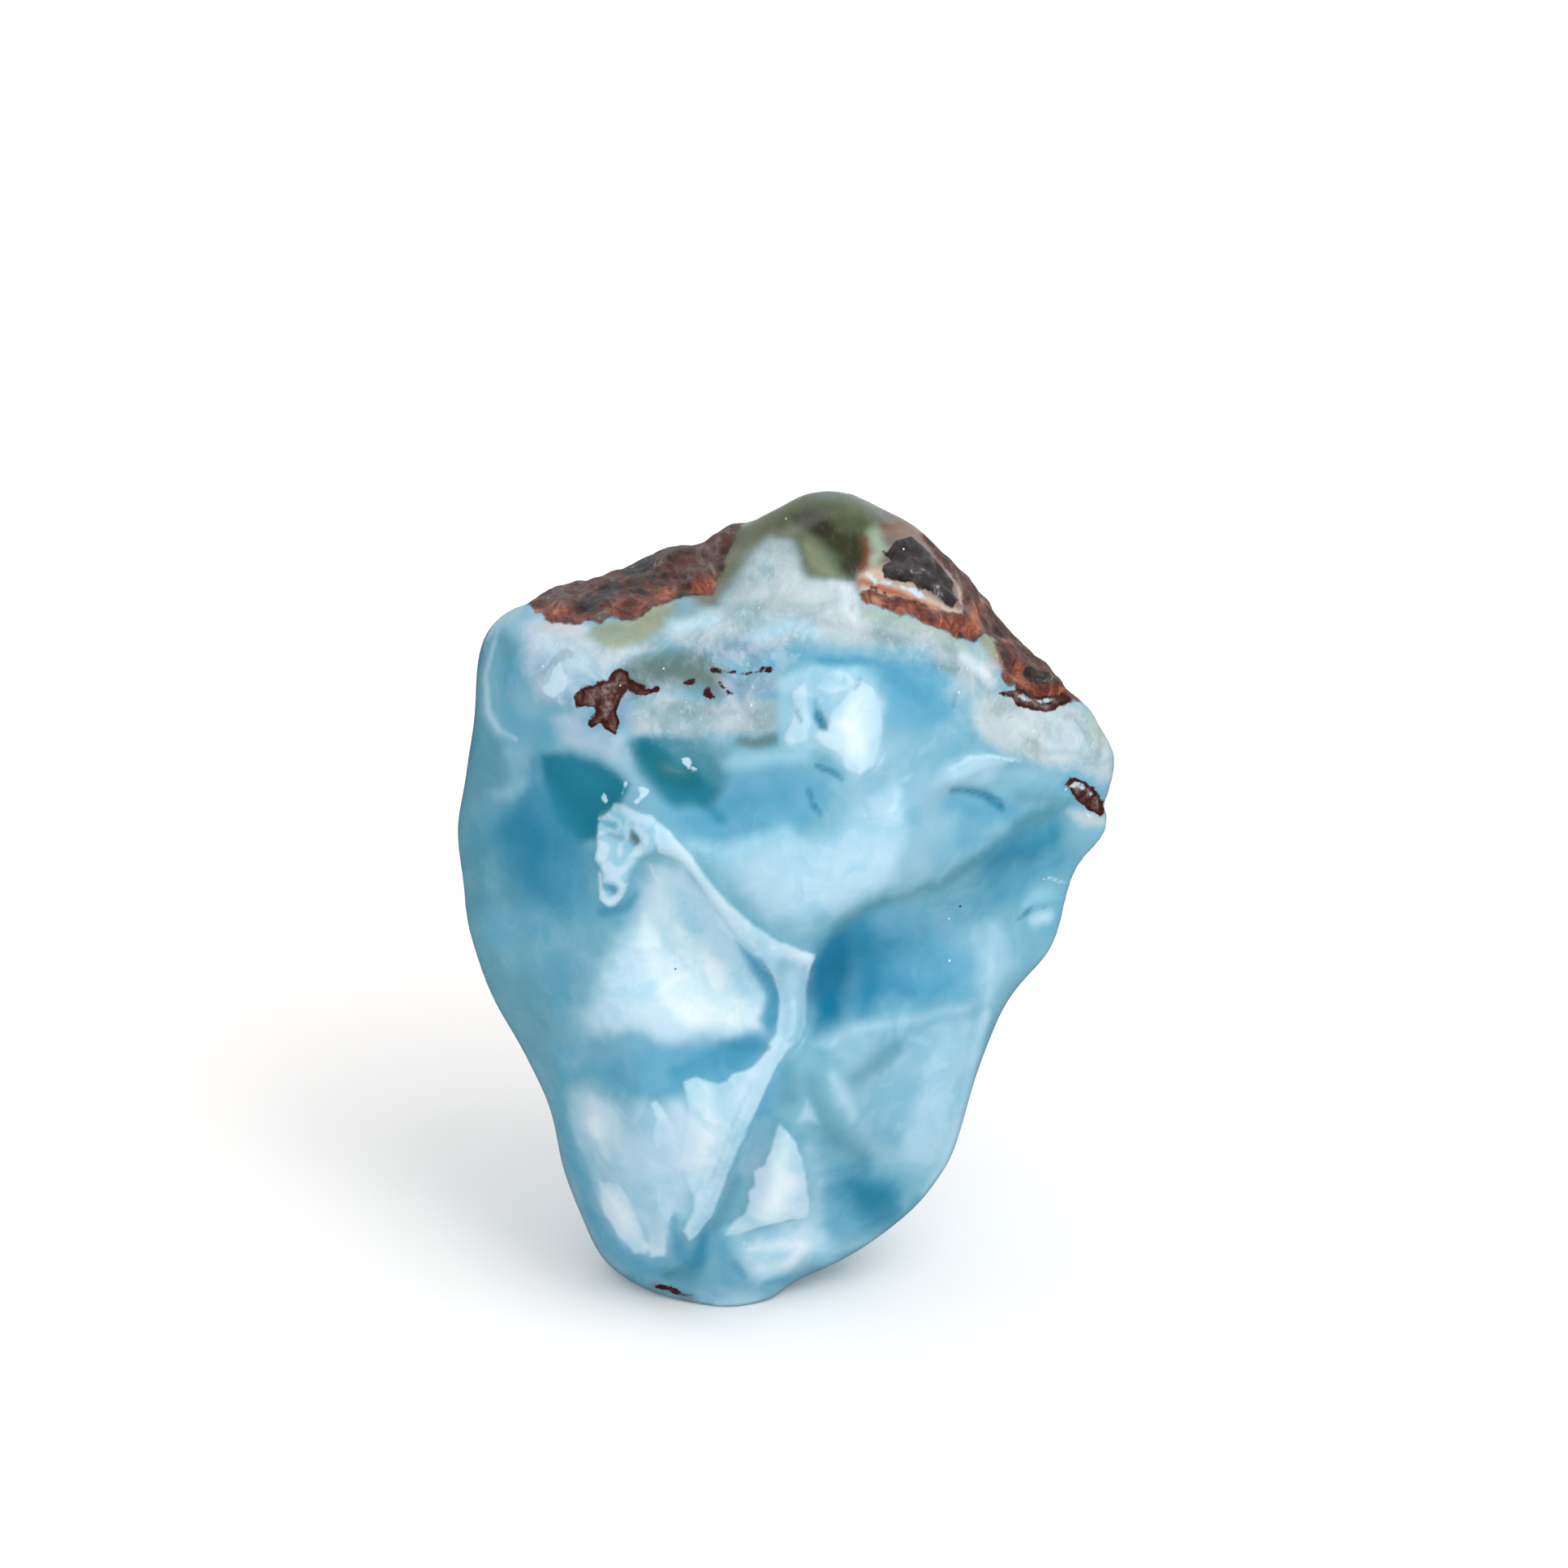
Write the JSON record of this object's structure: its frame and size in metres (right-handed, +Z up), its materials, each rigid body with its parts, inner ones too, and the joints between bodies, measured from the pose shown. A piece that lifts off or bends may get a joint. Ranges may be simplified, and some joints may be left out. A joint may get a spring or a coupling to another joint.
{
  "type": "rough larimar stone",
  "caption": "Rough lump of blue and white pectolite with a rind of dark host rock over its crown, standing on a small flat spot with its worn face leaning back.",
  "frame": {"origin": "middle of the bounding box in X and Y, at the level of the flat spot that the stone stands on", "axes": "+Z up as the stone stands; -Y towards whoever looks at the blue face, which leans back 20 degrees; +X to their right"},
  "size_m": [0.0408, 0.0334, 0.0459],
  "materials": {
    "larimar": "waxy worn blue and white stone, with a rough brown and olive rind over the crown"
  },
  "bodies": {
    "root": {"larimar_stone": "larimar"}
  },
  "joints": []
}
